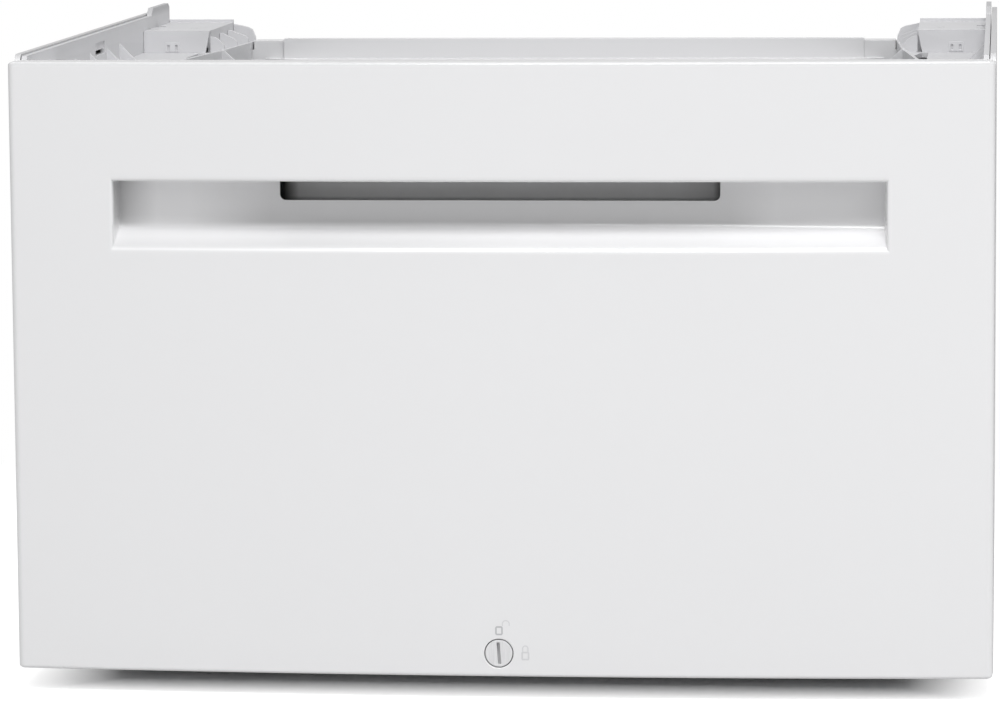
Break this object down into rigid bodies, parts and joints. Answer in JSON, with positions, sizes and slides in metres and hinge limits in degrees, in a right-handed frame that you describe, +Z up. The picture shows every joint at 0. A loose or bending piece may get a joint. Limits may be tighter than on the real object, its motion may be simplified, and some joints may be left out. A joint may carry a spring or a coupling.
{
  "type": "washer pedestal drawer",
  "caption": "White washing machine pedestal: a steel cabinet with moulded side decks and one deep drawer on ball slides behind a crowned front with a recessed grip and turn lock.",
  "frame": {"origin": "on the floor under the centre of the overall box", "axes": "+Z up, the front panel faces -Y, +X to the right seen from the front; the drawer opens along -Y"},
  "size_m": [0.598, 0.56, 0.3952],
  "materials": {
    "white_paint": "gloss",
    "white_gloss_front": "gloss",
    "grey_moulding": "satin",
    "lock_plastic": "satin",
    "dark_plastic": "matte",
    "galvanised_sheet": "satin",
    "bright_steel": "polished",
    "black_rubber": "matte"
  },
  "bodies": {
    "cabinet": {"left_side_panel": "white_paint", "right_side_panel": "white_paint", "rear_panel": "galvanised_sheet", "base_front_rail": "galvanised_sheet", "base_rear_rail": "galvanised_sheet", "base_left_rail": "galvanised_sheet", "base_right_rail": "galvanised_sheet", "front_cross_rail": "galvanised_sheet", "rear_cross_rail": "grey_moulding", "left_top_beam": "galvanised_sheet", "right_top_beam": "galvanised_sheet", "left_top_trim": "grey_moulding", "right_top_trim": "grey_moulding", "rear_left_platform": "grey_moulding", "rear_right_platform": "grey_moulding", "front_left_platform": "grey_moulding", "front_right_platform": "grey_moulding", "left_slide_bracket": "galvanised_sheet", "right_slide_bracket": "galvanised_sheet", "left_slide_cabinet_member": "bright_steel", "right_slide_cabinet_member": "bright_steel", "lock_strike_plate": "bright_steel", "foot_weld_nuts": "bright_steel", "foot_lock_nuts": "bright_steel", "slide_rivets": "bright_steel", "base_screws": "bright_steel", "rear_panel_screws": "bright_steel", "deck_screws": "bright_steel"},
    "drawer": {"drawer_front_panel": "white_gloss_front", "drawer_inner_panel": "white_paint", "grip_pocket": "dark_plastic", "drawer_left_side": "galvanised_sheet", "drawer_right_side": "galvanised_sheet", "drawer_back": "galvanised_sheet", "drawer_floor": "galvanised_sheet", "left_slide_drawer_member": "bright_steel", "right_slide_drawer_member": "bright_steel", "lock_housing": "lock_plastic", "panel_screws": "bright_steel", "drawer_screws": "bright_steel", "drawer_bumpers": "black_rubber"},
    "slide_middle_left": {"left_slide_middle_member": "bright_steel"},
    "slide_middle_right": {"right_slide_middle_member": "bright_steel"},
    "ball_cage_outer_left": {"left_outer_ball_cage": "bright_steel"},
    "ball_cage_outer_right": {"right_outer_ball_cage": "bright_steel"},
    "ball_cage_inner_left": {"left_inner_ball_cage": "bright_steel"},
    "ball_cage_inner_right": {"right_inner_ball_cage": "bright_steel"},
    "lock": {"lock_knob": "lock_plastic", "lock_cam": "bright_steel", "lock_clip": "bright_steel"},
    "levelling_foot_front_left": {"foot_front_left": "bright_steel", "foot_pad_front_left": "black_rubber"},
    "levelling_foot_front_right": {"foot_front_right": "bright_steel", "foot_pad_front_right": "black_rubber"},
    "levelling_foot_rear_left": {"foot_rear_left": "bright_steel", "foot_pad_rear_left": "black_rubber"},
    "levelling_foot_rear_right": {"foot_rear_right": "bright_steel", "foot_pad_rear_right": "black_rubber"}
  },
  "joints": [
    {"name": "drawer_slide", "type": "slide", "parent": "cabinet", "child": "drawer", "axis": [0, -1, 0], "range_m": [0, 0.42]},
    {"name": "middle_member_left_slide", "type": "slide", "parent": "cabinet", "child": "slide_middle_left", "axis": [0, -1, 0], "range_m": [0, 0.21]},
    {"name": "outer_cage_left_slide", "type": "slide", "parent": "cabinet", "child": "ball_cage_outer_left", "axis": [0, -1, 0], "range_m": [0, 0.105]},
    {"name": "inner_cage_left_slide", "type": "slide", "parent": "cabinet", "child": "ball_cage_inner_left", "axis": [0, -1, 0], "range_m": [0, 0.315]},
    {"name": "middle_member_right_slide", "type": "slide", "parent": "cabinet", "child": "slide_middle_right", "axis": [0, -1, 0], "range_m": [0, 0.21]},
    {"name": "outer_cage_right_slide", "type": "slide", "parent": "cabinet", "child": "ball_cage_outer_right", "axis": [0, -1, 0], "range_m": [0, 0.105]},
    {"name": "inner_cage_right_slide", "type": "slide", "parent": "cabinet", "child": "ball_cage_inner_right", "axis": [0, -1, 0], "range_m": [0, 0.315]},
    {"name": "lock_turn", "type": "hinge", "parent": "drawer", "child": "lock", "pos_m": [0, -0.27, 0.0286], "axis": [0, 1, 0], "range_deg": [0, 90]},
    {"name": "foot_front_left_adjust", "type": "slide", "parent": "cabinet", "child": "levelling_foot_front_left", "axis": [0, 0, -1], "range_m": [0, 0.012]},
    {"name": "foot_front_right_adjust", "type": "slide", "parent": "cabinet", "child": "levelling_foot_front_right", "axis": [0, 0, -1], "range_m": [0, 0.012]},
    {"name": "foot_rear_left_adjust", "type": "slide", "parent": "cabinet", "child": "levelling_foot_rear_left", "axis": [0, 0, -1], "range_m": [0, 0.012]},
    {"name": "foot_rear_right_adjust", "type": "slide", "parent": "cabinet", "child": "levelling_foot_rear_right", "axis": [0, 0, -1], "range_m": [0, 0.012]}
  ],
  "couplings": [
    {"joint": "middle_member_left_slide", "follows": "drawer_slide", "ratio": 0.5},
    {"joint": "outer_cage_left_slide", "follows": "drawer_slide", "ratio": 0.25},
    {"joint": "inner_cage_left_slide", "follows": "drawer_slide", "ratio": 0.75},
    {"joint": "middle_member_right_slide", "follows": "drawer_slide", "ratio": 0.5},
    {"joint": "outer_cage_right_slide", "follows": "drawer_slide", "ratio": 0.25},
    {"joint": "inner_cage_right_slide", "follows": "drawer_slide", "ratio": 0.75}
  ]
}
